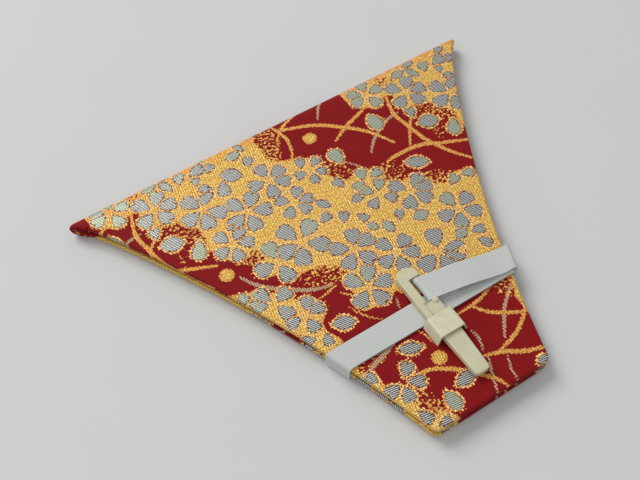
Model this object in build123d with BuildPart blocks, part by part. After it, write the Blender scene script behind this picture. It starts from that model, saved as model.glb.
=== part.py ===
"""Shamisen plectrum sheath: two cloth-covered boards hinged by a cloth spine, with an elastic band and a peg.

+X runs along the spine, +Y points from the narrow end to the spine and +Z is up.
The origin is the centre of the footprint, on the surface the sheath lies on.
All sizes are in millimetres.
"""
from build123d import *
import math
import os

# ---------------------------------------------------------------- outline of a cover
SPINE_WIDTH = 120.0         # across the spine, along X
NECK_WIDTH = 32.4           # across the narrow end, along X
HEIGHT = 95.4               # from the narrow end to the outside of the spine, along Y
SIDE_BOW = 4.13             # how far each side curves in at mid height
NECK_CORNER = 1.6           # rounding of the two corners of the narrow end, in plan

# ---------------------------------------------------------------- layers, inside to outside
POCKET_GAP = 0.90           # empty height between the two linings
LINING_T = 0.20             # lining cloth
BROCADE_T = 0.28            # brocade cloth, also the thickness of its turned hem
BOARD_T = 1.00              # card core
HEM_WIDTH = 5.0             # brocade turned in on the inside face
LINING_INSET = 1.8          # lining stops this far from the edge of the cover
EDGE_ROUND = 0.45           # soft outer edge of the brocade
SPINE_BEND = 1.6            # bend radius of the middle of the spine's cloth

# ---------------------------------------------------------------- elastic band
BAND_T = 0.70               # thickness under light tension
BAND_W = 6.5                # width of the first turn and of the strip on the back
BAND_BACK_Y = -21.3         # centre line of the outer turn at the right-hand edge
BAND_FRONT_Y = -21.9        # centre line of the strip across the front
BAND_EDGE = 2.2             # each turn starts this far in from the edge of the cover
BAND_BEND = 0.75            # bend radius of the band's middle over a cover edge
TAB_LENGTH = 11.0           # length of band sewn under the back lining
TAB_MOUTH = 0.7             # the sewn end becomes the first turn this far inside the edge
TURN_AIR = 0.05             # air between the first turn and the edge of the cover
OUTER_TURN_AIR = 0.10       # air between the outer turn and the edge with its first turn
OVERLAP_AIR = 0.03          # air between the front strip and the band that crosses it

# ---------------------------------------------------------------- peg and its strap
PEG_X = 0.5                 # centre line of the peg
PEG_TOP_Y = -10.7           # rounded end of the head
PEG_TIP_Y = -42.4           # end of the tongue
PEG_HEAD_W = 5.6
PEG_TIP_W = 4.0
PEG_T = 2.0
PEG_LIFT = 0.08             # air between the peg and the band it lies on
SLOT_X0 = -0.45             # slot sides, from the peg's centre line
SLOT_X1 = 1.35
SLOT_Y0 = -21.5
SLOT_Y1 = -13.9
RAIL_X1 = 2.55              # outer side of the thin rail that the band is looped round
RAIL_T = 0.60
LOOP_W = 7.0                # band width at the loop, where it is relaxed
LOOP_REACH = 6.0            # doubled length of band beyond the rail
STRAP_W = 5.8               # strap width, along Y
STRAP_T = 0.50
STRAP_HALF = 3.95           # half the distance between the two tails
STRAP_TOP_HALF = 3.15
STRAP_Y = -28.1
STRAP_TAIL = 0.95           # depth of each tail below the face of the cover
STRAP_AIR = 0.28            # air between the peg and the strap
STRAP_FOOT = 0.35           # height of the upright foot of each side
STRAP_BEND = 0.60           # bend radius of the strap's middle
PEG_WAIST = 2.6             # full width goes on this far past the slot
HEAD_ROUND = 0.72           # corner radius of the head, as a share of half its width
TIP_ROUND = 0.90
PEG_TOP_ROUND = 0.45
PEG_BOTTOM_ROUND = 0.25
RAIL_ROOT = 0.30            # the rail runs this far into the peg at both ends

# ---------------------------------------------------------------- stitches
STITCH_W = 0.30
STITCH_T = 0.16
ANCHOR_STITCH = 1.0         # length of a stitch at the sewn end
ANCHOR_PITCH = 1.5
ANCHOR_ROWS = (5.0, 8.0)    # distances in from the edge of the cover
LOOP_STITCH = 0.85          # length of a stitch beside the peg
LOOP_PITCH = 1.25
LOOP_ROWS = (1.0, 2.6)      # distances from the end of the doubled band

# ---------------------------------------------------------------- spine
BOARD_SETBACK = 0.3         # the card stops this far before the seam
SAG_START = 0.5             # the cloth drops to the table between these distances from the seam
SAG_END = 1.4
SAG_REST = 2.0
SAG_BEND = 0.8
LINING_FOLD = 1.7           # depth of the folded lining beyond the seam
LINING_BEND = 0.45
CUT_CLEARANCE = 1.0         # cutting shapes run this far past what they cut

# ---------------------------------------------------------------- derived heights
COVER_T = LINING_T + BROCADE_T + BOARD_T + BROCADE_T
MID_Z = BAND_T + COVER_T + POCKET_GAP / 2
FACE_Z = MID_Z + POCKET_GAP / 2 + COVER_T       # outer face of the front cover
D_LINING = POCKET_GAP / 2                       # distances from the middle plane
D_HEM = D_LINING + LINING_T
D_BOARD = D_HEM + BROCADE_T
D_SKIN = D_BOARD + BOARD_T
D_FACE = D_SKIN + BROCADE_T
SEAM_Y = HEIGHT / 2 - 3.8                       # covers end here and the soft spine begins
BACK = -1
FRONT = 1


def side_circle():
    """Centre and radius of the arc along the right-hand side."""
    chord = Vector((SPINE_WIDTH - NECK_WIDTH) / 2, HEIGHT)
    middle = Vector((SPINE_WIDTH + NECK_WIDTH) / 4, 0)
    inward = Vector(-chord.Y, chord.X) / chord.length
    # the arc crosses y = 0 at a point SIDE_BOW nearer the centre line than the chord does
    along = -SIDE_BOW * chord.X / chord.length
    sagitta_here = SIDE_BOW * chord.Y / chord.length
    reach = ((chord.length / 2) ** 2 - along ** 2 - sagitta_here ** 2) / (2 * sagitta_here)
    centre = middle - inward * reach
    return centre, math.hypot(reach, chord.length / 2)


SIDE_CENTRE, SIDE_RADIUS = side_circle()


def half_width(y):
    """Half the width of the outline at height y."""
    return SIDE_CENTRE.X - math.sqrt(SIDE_RADIUS ** 2 - (y - SIDE_CENTRE.Y) ** 2)


def fan(inset, top, z):
    """Outline of the cover at height z, moved in by inset and cut off at y = top."""
    with BuildSketch(Plane.XY.offset(z)) as outline:
        with BuildLine():
            low_left = (-NECK_WIDTH / 2, -HEIGHT / 2)
            low_right = (NECK_WIDTH / 2, -HEIGHT / 2)
            high_right = (SPINE_WIDTH / 2, HEIGHT / 2)
            high_left = (-SPINE_WIDTH / 2, HEIGHT / 2)
            Line(low_left, low_right)
            ThreePointArc(low_right, (half_width(0), 0), high_right)
            Line(high_right, high_left)
            ThreePointArc(high_left, (-half_width(0), 0), low_left)
        make_face()
        fillet(outline.vertices().sort_by(Axis.Y)[0:2], radius=NECK_CORNER)
        if inset > 0:
            offset(amount=-inset, mode=Mode.REPLACE)
        with Locations((0, top - HEIGHT)):
            Rectangle(2 * SPINE_WIDTH, 2 * HEIGHT, mode=Mode.INTERSECT)
    return outline.sketch


def add_slab(side, inset, top, near, far, mode=Mode.ADD):
    """Fan-shaped slab between two distances from the middle plane, on one side of it."""
    outline = fan(inset, top, MID_Z + side * near)
    extrude(outline, amount=side * (far - near), dir=(0, 0, 1), mode=mode)


def trim_to_outline(inset):
    """Cut the ends of the open part along the sides of the sheath."""
    outline = fan(inset, HEIGHT / 2, -CUT_CLEARANCE)
    extrude(outline, amount=FACE_Z + 2 * CUT_CLEARANCE, dir=(0, 0, 1), mode=Mode.INTERSECT)


# ================================================================ strap
def make_strap():
    """Thin strap arched over the peg, with both tails let into the front cover."""
    top_z = FACE_Z + BAND_T + PEG_LIFT + PEG_T + STRAP_AIR + STRAP_T / 2
    with BuildPart() as strap:
        with BuildSketch(Plane.XZ.offset(-STRAP_Y - STRAP_W / 2)):
            with BuildLine():
                FilletPolyline(
                    (PEG_X - STRAP_HALF, FACE_Z - STRAP_TAIL),
                    (PEG_X - STRAP_HALF, FACE_Z + STRAP_FOOT),
                    (PEG_X - STRAP_TOP_HALF, top_z),
                    (PEG_X + STRAP_TOP_HALF, top_z),
                    (PEG_X + STRAP_HALF, FACE_Z + STRAP_FOOT),
                    (PEG_X + STRAP_HALF, FACE_Z - STRAP_TAIL),
                    radius=STRAP_BEND,
                )
            trace(line_width=STRAP_T)
        extrude(amount=STRAP_W)
    return strap


# ================================================================ elastic band pieces
def make_turn(side, y_mid, width, points):
    """Band turned round one side edge. Each point is (distance out from the edge, height)."""
    y0 = y_mid - width / 2
    y1 = y_mid + width / 2
    lean = (side * (half_width(y1) - half_width(y0)), y1 - y0, 0)
    start = [(side * (half_width(y0) + out), z) for out, z in points]
    with BuildPart() as turn:
        with BuildSketch(Plane.XZ.offset(-y0)):
            with BuildLine():
                FilletPolyline(*start, radius=BAND_BEND)
            trace(line_width=BAND_T)
        extrude(amount=math.hypot(lean[0], lean[1]), dir=lean)
    return turn


def make_strip(y_left, y_right, width, bottom_z):
    """Flat band from one side to the other, stopping where the turns begin."""
    corners = []
    for side, y_mid in ((-1, y_left), (1, y_right)):
        for end in (-side, side):
            y = y_mid + end * width / 2
            corners.append((side * (half_width(y) - BAND_EDGE), y))
    with BuildPart() as strip:
        with BuildSketch(Plane.XY.offset(bottom_z)):
            with BuildLine():
                Polyline(*corners, close=True)
            make_face()
        extrude(amount=BAND_T)
    return strip


def make_fixed_end():
    """End of the band let in under the back lining, coming out at the right-hand edge."""
    with BuildPart() as tab:
        y0 = BAND_FRONT_Y - BAND_W / 2
        y1 = BAND_FRONT_Y + BAND_W / 2
        with BuildSketch(Plane.XY.offset(MID_Z - D_HEM - BAND_T)):
            with BuildLine():
                Polyline(
                    (half_width(y0) - TAB_LENGTH, y0),
                    (half_width(y0) - TAB_MOUTH, y0),
                    (half_width(y1) - TAB_MOUTH, y1),
                    (half_width(y1) - TAB_LENGTH, y1),
                    close=True,
                )
            make_face()
        extrude(amount=BAND_T)
    return tab


def make_peg_strip():
    """Sloping band from the outer turn up to the doubled loop on the peg."""
    x0 = PEG_X + PEG_HEAD_W / 2 + LOOP_REACH
    z0 = FACE_Z + BAND_T + PEG_LIFT + PEG_T
    y_loop = (SLOT_Y0 + SLOT_Y1) / 2
    low = BAND_BACK_Y - BAND_W / 2
    high = BAND_BACK_Y + BAND_W / 2
    x_low = half_width(low) - BAND_EDGE
    x_high = half_width(high) - BAND_EDGE
    z1 = FACE_Z + 1.5 * BAND_T + OVERLAP_AIR
    slant = Vector(x_high - x_low, high - low, 0)
    far = Plane(
        origin=((x_low + x_high) / 2, BAND_BACK_Y, z1),
        x_dir=slant,
        z_dir=slant.cross(Vector(0, 0, 1)),
    )
    near = Plane(origin=(x0, y_loop, z0 - BAND_T / 2), x_dir=(0, 1, 0), z_dir=(1, 0, 0))
    with BuildPart() as strip:
        with BuildSketch(near):
            Rectangle(LOOP_W, BAND_T)
        with BuildSketch(far):
            Rectangle(slant.length, BAND_T)
        loft(ruled=True)
    return strip


def make_peg_loop():
    """Band passed down through the slot, round the thin rail and back under itself."""
    top_z = FACE_Z + BAND_T + PEG_LIFT + PEG_T - BAND_T / 2
    low_z = top_z - RAIL_T - BAND_T
    x_in = PEG_X + SLOT_X1 - BAND_T / 2 - TURN_AIR
    x_out = PEG_X + PEG_HEAD_W / 2 + LOOP_REACH
    y_loop = (SLOT_Y0 + SLOT_Y1) / 2
    with BuildPart() as loop:
        with BuildSketch(Plane.XZ.offset(-y_loop - LOOP_W / 2)):
            with BuildLine():
                FilletPolyline(
                    (x_out, top_z),
                    (x_in, top_z),
                    (x_in, low_z),
                    (x_out, low_z),
                    radius=BAND_T / 2 + OVERLAP_AIR,
                )
            trace(line_width=BAND_T)
        extrude(amount=LOOP_W)
    return loop


# ================================================================ clasp peg
def make_peg():
    """Flat peg: a rounded head with a long slot, tapering to a tongue."""
    z0 = FACE_Z + BAND_T + PEG_LIFT
    head = PEG_HEAD_W / 2
    tip = PEG_TIP_W / 2
    waist_y = SLOT_Y0 - PEG_WAIST
    with BuildPart() as peg:
        with BuildSketch(Plane.XY.offset(z0)):
            with BuildLine():
                Polyline(
                    (PEG_X - head, PEG_TOP_Y),
                    (PEG_X - head, waist_y),
                    (PEG_X - tip, PEG_TIP_Y),
                    (PEG_X + tip, PEG_TIP_Y),
                    (PEG_X + head, waist_y),
                    (PEG_X + head, PEG_TOP_Y),
                    close=True,
                )
            make_face()
            corners = vertices().sort_by(Axis.Y)
            fillet(corners[-2:], radius=head * HEAD_ROUND)
            fillet(vertices().sort_by(Axis.Y)[0:2], radius=TIP_ROUND)
        extrude(amount=PEG_T)
        fillet(faces().sort_by(Axis.Z)[-1].edges(), radius=PEG_TOP_ROUND)
        fillet(faces().sort_by(Axis.Z)[0].edges(), radius=PEG_BOTTOM_ROUND)
        # a notch through the head, bridged by the thin rail that the band wraps
        notch_x1 = head + CUT_CLEARANCE
        notch = (PEG_X + (SLOT_X0 + notch_x1) / 2, (SLOT_Y0 + SLOT_Y1) / 2)
        with BuildSketch(Plane.XY.offset(z0 - CUT_CLEARANCE)):
            with Locations(notch):
                Rectangle(notch_x1 - SLOT_X0, SLOT_Y1 - SLOT_Y0)
        extrude(amount=PEG_T + 2 * CUT_CLEARANCE, mode=Mode.SUBTRACT)
        rail = (PEG_X + (SLOT_X1 + RAIL_X1) / 2, notch[1])
        with BuildSketch(Plane.XY.offset(z0 + PEG_T - BAND_T - RAIL_T)):
            with Locations(rail):
                Rectangle(RAIL_X1 - SLOT_X1, SLOT_Y1 - SLOT_Y0 + 2 * RAIL_ROOT)
        extrude(amount=RAIL_T)
    return peg


# ================================================================ covers
def make_board(side, cutters):
    """Stiff card core of one cover."""
    with BuildPart() as board:
        add_slab(side, BROCADE_T, SEAM_Y - BOARD_SETBACK, D_BOARD, D_SKIN)
        for cutter in cutters:
            add(cutter.part, mode=Mode.SUBTRACT)
    return board


def make_brocade(side, cutters):
    """Brocade over the outer face and the edges of one cover, with its hem turned inside."""
    with BuildPart() as brocade:
        add_slab(side, 0, SEAM_Y, D_HEM, D_FACE)
        outer = faces().sort_by(Axis.Z)[-1 if side == FRONT else 0].edges()
        rim = outer.filter_by(lambda e: e.center().Y < SEAM_Y - 0.1)
        fillet(rim, radius=EDGE_ROUND)
        add_slab(side, BROCADE_T, SEAM_Y + CUT_CLEARANCE, D_BOARD, D_SKIN, Mode.SUBTRACT)
        add_slab(side, HEM_WIDTH, SEAM_Y + CUT_CLEARANCE, D_HEM, D_BOARD, Mode.SUBTRACT)
        for cutter in cutters:
            add(cutter.part, mode=Mode.SUBTRACT)
    return brocade


def make_lining(side, cutters):
    """Lining pasted to the board inside the hem and lapped over it."""
    with BuildPart() as lining:
        add_slab(side, LINING_INSET, SEAM_Y, D_LINING, D_HEM)
        add_slab(side, HEM_WIDTH, SEAM_Y, D_HEM, D_BOARD)
        for cutter in cutters:
            add(cutter.part, mode=Mode.SUBTRACT)
    return lining


# ================================================================ spine
def make_spine_brocade():
    """Soft fold of brocade along the spine, sagging a little so that it rests on the table."""
    half = BROCADE_T / 2
    with BuildPart() as fold:
        with BuildSketch(Plane.YZ.offset(-SPINE_WIDTH / 2)):
            with BuildLine():
                sag = FilletPolyline(
                    (SEAM_Y, BAND_T + half),
                    (SEAM_Y + SAG_START, BAND_T + half),
                    (SEAM_Y + SAG_END, half),
                    (SEAM_Y + SAG_REST, half),
                    radius=SAG_BEND,
                )
                FilletPolyline(
                    sag @ 1,
                    (HEIGHT / 2 - half, half),
                    (HEIGHT / 2 - half, FACE_Z - half),
                    (SEAM_Y, FACE_Z - half),
                    radius=SPINE_BEND,
                )
            trace(line_width=BROCADE_T)
        extrude(amount=SPINE_WIDTH)
        trim_to_outline(0)
    return fold


def make_spine_lining():
    """Lining folded round the inside of the spine."""
    d_mid = D_LINING + LINING_T / 2
    with BuildPart() as fold:
        with BuildSketch(Plane.YZ.offset(-SPINE_WIDTH / 2)):
            with BuildLine():
                FilletPolyline(
                    (SEAM_Y, MID_Z - d_mid),
                    (SEAM_Y + LINING_FOLD, MID_Z - d_mid),
                    (SEAM_Y + LINING_FOLD, MID_Z + d_mid),
                    (SEAM_Y, MID_Z + d_mid),
                    radius=LINING_BEND,
                )
            trace(line_width=LINING_T)
        extrude(amount=SPINE_WIDTH)
        trim_to_outline(LINING_INSET)
    return fold


# ================================================================ stitches
def add_stitch(x, y, z, length, angle):
    """One short raised stitch, flat underneath."""
    with Locations(Location((x, y, z), (0, 0, angle))):
        Box(length, STITCH_W, STITCH_T)


def make_anchor_stitches():
    """Two rows of stitches holding the sewn end of the band under the back lining."""
    z = MID_Z - D_LINING + STITCH_T / 2
    with BuildPart() as stitches:
        for row in ANCHOR_ROWS:
            for k in range(4):
                x = half_width(BAND_FRONT_Y) - row
                y = BAND_FRONT_Y + (k - 1.5) * ANCHOR_PITCH
                add_stitch(x, y, z, ANCHOR_STITCH, 90)
    return stitches


def make_loop_stitches():
    """Two rows of stitches across the doubled band, beside the peg."""
    z = FACE_Z + BAND_T + PEG_LIFT + PEG_T + STITCH_T / 2
    y_loop = (SLOT_Y0 + SLOT_Y1) / 2
    with BuildPart() as stitches:
        for row in LOOP_ROWS:
            for k in range(5):
                x = PEG_X + PEG_HEAD_W / 2 + LOOP_REACH - row
                y = y_loop + (k - 2) * LOOP_PITCH
                add_stitch(x, y, z, LOOP_STITCH, 90)
    return stitches


# ================================================================ assembly
turn_out = BAND_T / 2 + TURN_AIR
outer_turn_out = 1.5 * BAND_T + OUTER_TURN_AIR
back_mid = BAND_T / 2
front_mid = FACE_Z + BAND_T / 2
over_mid = FACE_Z + 1.5 * BAND_T + OVERLAP_AIR
tab_mid = MID_Z - D_HEM - BAND_T / 2

clasp_strap = make_strap()
band_fixed_end = make_fixed_end()
band_inner_turn = make_turn(1, BAND_FRONT_Y, BAND_W, [
    (-TAB_MOUTH, tab_mid),
    (turn_out, tab_mid),
    (turn_out, front_mid),
    (-BAND_EDGE, front_mid),
])
sewn_in = [band_fixed_end, band_inner_turn]

pieces = {
    "back_board": make_board(BACK, sewn_in),
    "back_brocade": make_brocade(BACK, sewn_in),
    "back_lining": make_lining(BACK, sewn_in),
    "spine_brocade": make_spine_brocade(),
    "spine_lining": make_spine_lining(),
    "front_board": make_board(FRONT, [clasp_strap]),
    "front_brocade": make_brocade(FRONT, [clasp_strap]),
    "front_lining": make_lining(FRONT, []),
    "band_fixed_end": band_fixed_end,
    "band_inner_turn": band_inner_turn,
    "band_front_strip": make_strip(BAND_FRONT_Y, BAND_FRONT_Y, BAND_W, FACE_Z),
    "band_left_turn": make_turn(-1, BAND_FRONT_Y, BAND_W, [
        (-BAND_EDGE, front_mid),
        (turn_out, front_mid),
        (turn_out, back_mid),
        (-BAND_EDGE, back_mid),
    ]),
    "band_back_strip": make_strip(BAND_FRONT_Y, BAND_BACK_Y, BAND_W, 0),
    "band_outer_turn": make_turn(1, BAND_BACK_Y, BAND_W, [
        (-BAND_EDGE, back_mid),
        (outer_turn_out, back_mid),
        (outer_turn_out, over_mid),
        (-BAND_EDGE, over_mid),
    ]),
    "band_peg_strip": make_peg_strip(),
    "band_peg_loop": make_peg_loop(),
    "band_anchor_stitches": make_anchor_stitches(),
    "band_loop_stitches": make_loop_stitches(),
    "clasp_strap": clasp_strap,
    "clasp_peg": make_peg(),
}

os.makedirs("parts", exist_ok=True)
for name, piece in pieces.items():
    piece.part.label = name
    export_step(piece.part, "parts/" + name + ".step")
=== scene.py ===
"""Looks of a shamisen plectrum sheath: brocade covers, cloth spine, elastic band and peg clasp.

Lengths in this script are millimetres until a mesh is made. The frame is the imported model's:
+X along the spine, +Y from the narrow end to the spine, +Z up.
Cloth positions use (u, v): u is x, and v is the distance up the front cover from the narrow end,
carried on round the spine and down the back cover, so that the pattern runs through the fold.
"""

import math

import bpy
import bmesh
import numpy as np
from mathutils import Matrix, Vector


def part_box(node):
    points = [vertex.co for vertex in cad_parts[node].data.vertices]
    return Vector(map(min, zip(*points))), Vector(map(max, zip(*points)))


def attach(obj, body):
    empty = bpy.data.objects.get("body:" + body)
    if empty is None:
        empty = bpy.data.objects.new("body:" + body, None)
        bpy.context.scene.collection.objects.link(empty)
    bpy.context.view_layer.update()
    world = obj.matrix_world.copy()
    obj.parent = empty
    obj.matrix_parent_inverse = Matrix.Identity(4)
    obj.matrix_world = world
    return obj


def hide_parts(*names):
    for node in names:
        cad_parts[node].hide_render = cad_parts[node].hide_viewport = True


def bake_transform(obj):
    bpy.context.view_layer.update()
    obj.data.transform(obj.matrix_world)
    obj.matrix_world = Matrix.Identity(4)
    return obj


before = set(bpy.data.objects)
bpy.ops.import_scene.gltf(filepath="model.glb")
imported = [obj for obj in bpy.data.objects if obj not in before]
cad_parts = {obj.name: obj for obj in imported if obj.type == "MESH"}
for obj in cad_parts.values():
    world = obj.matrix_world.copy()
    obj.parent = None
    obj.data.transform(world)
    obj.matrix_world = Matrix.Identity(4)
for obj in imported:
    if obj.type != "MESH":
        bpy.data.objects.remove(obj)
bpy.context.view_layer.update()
MM = 0.001


def node_mm(name):
    """Lowest and highest corner of a CAD node, in millimetres."""
    low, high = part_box(name)
    return np.array(low) / MM, np.array(high) / MM


def ramp(value, start, end):
    """0 at start, rising or falling evenly to 1 at end."""
    return np.clip((value - start) / (end - start), 0, 1)


def unit(vectors):
    """The same vectors, 1 long."""
    return vectors / (np.linalg.norm(vectors, axis=-1, keepdims=True) + 1e-12)


def travelled(points):
    """Distance along a line of points, at each point."""
    return np.r_[0, np.cumsum(np.linalg.norm(np.diff(points, axis=0), axis=1))]


def arc(centre, radii, start_deg, end_deg, n):
    """n points round part of an ellipse."""
    angle = np.radians(np.linspace(start_deg, end_deg, n))
    return list(zip(centre[0] + radii[0] * np.cos(angle), centre[1] + radii[1] * np.sin(angle)))


# ---------------------------------------------------------------- sizes, some given and some read from the imported model
SPINE_W = 120.0
NECK_W = 32.4
HEIGHT = 95.4
SIDE_BOW = 4.13
FLARE = 0.9                 # the cloth stands proud of the card at the spine's corners
NECK_Y = -HEIGHT / 2
NECK_CORNER = 1.6
FACE_Z = node_mm("front_brocade")[1][2]          # outer face of the front cover
BACK_Z = node_mm("back_brocade")[0][2]           # outer face of the back cover
SEAM_Y = node_mm("front_brocade")[1][1]          # the covers end and the soft spine begins
MID_Z = (FACE_Z + BACK_Z) / 2
D_FACE = FACE_Z - MID_Z
D_HEM = node_mm("front_brocade")[0][2] - MID_Z
D_LINING = node_mm("front_lining")[0][2] - MID_Z
BAND_T = BACK_Z
BAND_Y = node_mm("band_front_strip")[0][1] / 2 + node_mm("band_front_strip")[1][1] / 2
BAND_W = node_mm("band_front_strip")[1][1] - node_mm("band_front_strip")[0][1]
BAND_Y2 = node_mm("band_outer_turn")[0][1] / 2 + node_mm("band_outer_turn")[1][1] / 2
BAND_EDGE = 2.2             # a turn of the band begins this far in from the side
PEG_LOW, PEG_HIGH = node_mm("clasp_peg")
PEG_X = (PEG_LOW[0] + PEG_HIGH[0]) / 2
STRAP_LOW, STRAP_HIGH = node_mm("clasp_strap")
LOOP_LOW, LOOP_HIGH = node_mm("band_peg_loop")
FRONT, BACK = 1, -1
RIBS = 10                   # lengthwise ribs of the elastic
EDGE_R = 0.5                # rounding of a cover's rim
TUCK = 2.0                  # width of the hem turned inside
LINING_INSET = 2.1
ROWS, COLUMNS = 320, 361    # points of the fine grid that carries the pattern


# ================================================================ outline
def side_circle():
    """Centre and radius of the arc along the right-hand side."""
    chord = np.array([(SPINE_W - NECK_W) / 2, HEIGHT])
    length = np.hypot(*chord)
    inward = np.array([-chord[1], chord[0]]) / length
    along = -SIDE_BOW * chord[0] / length
    here = SIDE_BOW * chord[1] / length
    reach = ((length / 2) ** 2 - along ** 2 - here ** 2) / (2 * here)
    centre = np.array([(SPINE_W + NECK_W) / 4, 0]) - inward * reach
    return centre, math.hypot(reach, length / 2)


SIDE_CENTRE, SIDE_RADIUS = side_circle()


def half_width(y):
    """Half the width of the sheath at height y."""
    return SIDE_CENTRE[0] - np.sqrt(SIDE_RADIUS ** 2 - (y - SIDE_CENTRE[1]) ** 2)


def inset_half_width(y, inset):
    """Half width of the outline moved in by inset, with the neck's corners rounded."""
    slope = (half_width(y + 0.1) - half_width(y - 0.1)) / 0.2
    half = half_width(y) - inset * np.sqrt(1 + slope ** 2)
    half += FLARE * ramp(y, 37, 47) ** 2
    round_r = max(NECK_CORNER - inset, 0.05)
    t = np.clip(round_r - (y - NECK_Y - inset), 0, round_r)
    return half - (round_r - np.sqrt(round_r ** 2 - t ** 2))


# ================================================================ brocade pattern
FIELDS = ("gold", "silver", "brown", "spray", "pale")     # what each point of the cloth knows

REPEAT_U = np.array([77.5, -2.3])        # the woven repeat, across and along the cloth
REPEAT_V = np.array([0.0, 97.5])

# edge of the red ground where it runs diagonally between two gold clouds, one repeat of it
RED_GROUND = [
    (-9.5, 96.5), (-7, 94), (-8.5, 92), (-6.5, 89), (-7.5, 86), (-5.5, 83), (-2.5, 82), (-1, 81),
    (2, 79.5), (3, 77), (4, 74.5), (2.5, 72.5), (4, 69.5), (6.5, 68), (8, 69), (11, 68.5), (13, 68),
    (15, 65), (14.5, 63), (16.5, 60), (19, 60.5), (22.5, 59.5), (25, 57), (27, 54.5), (28.5, 55.5),
    (31, 55.5), (33.5, 54.5), (35, 51.5), (39.5, 52.7), (44, 50.7), (45.5, 50.2), (48, 47.7),
    (52, 46.7), (52.5, 43.7), (55, 40.2), (57.5, 39.2), (57.5, 36.2), (55, 34.2), (54.5, 31.7),
    (56, 28.7), (56.5, 22.5), (55.5, 19.5), (57, 16), (58.5, 12), (60.5, 9), (63, 6.5), (63.5, 4),
    (66, 1.5), (67, -1), (68, -3.3), (97.5, -3.3), (97.5, 20), (87, 27), (77, 28), (75.5, 30),
    (74.5, 31.7), (70.5, 30.2),
    (65, 31.2), (63.5, 33.7), (65.5, 35.7), (65.5, 38.7), (66.5, 40.2), (65, 42.2), (66, 43.7),
    (62.5, 46.7), (58, 48.2), (55.5, 47.2), (53, 48.7), (52.5, 51.2), (50, 51.7), (49, 54.2),
    (50, 56.7), (49.5, 58.7), (46, 58.7), (45, 61.2), (43.5, 62.7), (42.5, 66), (42.5, 70),
    (43, 72.5), (40.5, 74.5), (38.5, 75.5), (40.5, 76.5), (38.5, 78.5), (36, 79.5), (32, 80),
    (31, 82), (32, 84.5), (33, 86.5), (30, 86.5), (28.5, 84), (26, 84), (24, 86), (21, 88),
    (20.5, 91), (20.5, 94), (20, 96.5),
]

# cherry blossoms: centre, distance to the petals' middles, and the petals' directions in degrees
BLOSSOMS = [
    (-51, 92.3, 3.4, (3, 75, 147, 195, 284)), (-41, 87, 3.7, (-8, 54, 129, 212, 292)),
    (-30.5, 80.3, 3.9, (55, 118, 194, 259, 317)), (-21.2, 73.5, 3.85, (-22, 49, 119, 197, 264)),
    (-11.6, 79.2, 3.6, (20, 91, 176, 257, 325)), (-9.7, 69.6, 3.3, (-13, 48, 140, 219, 294)),
    (-29.3, 67, 3.4, (38, 117, 193, 262, 338)), (-14.6, 58.4, 4.4, (36, 113, 185, 242, 319)),
    (-4.8, 49.4, 3.8, (8, 63, 146, 219, 292)), (-8, 38.6, 3.8, (-9, 57, 125, 212, 283)),
    (3.6, 43, 3.6, (28, 114, 193, 257, 329)), (24.5, 45.2, 3.7, (24, 99, 180, 242, 318)),
    (-15.6, 13.8, 3.3, (40, -31, 255, 190)), (-25, 40.3, 3.3, (52, 0, 272, 183)),
    (-29.8, 46.8, 3.6, (17, 107, 157, 293)), (12.2, 37.6, 4.2, (-20, 66, 197, 268, 322)),
    (-22.6, 56.5, 3.9, (88, 180, 270)), (17.6, 56.4, 3.7, (30, 128, 232, 298, 350)),
    (10, 60, 3.2, (-50, 55, 130, 214)),
]

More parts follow.
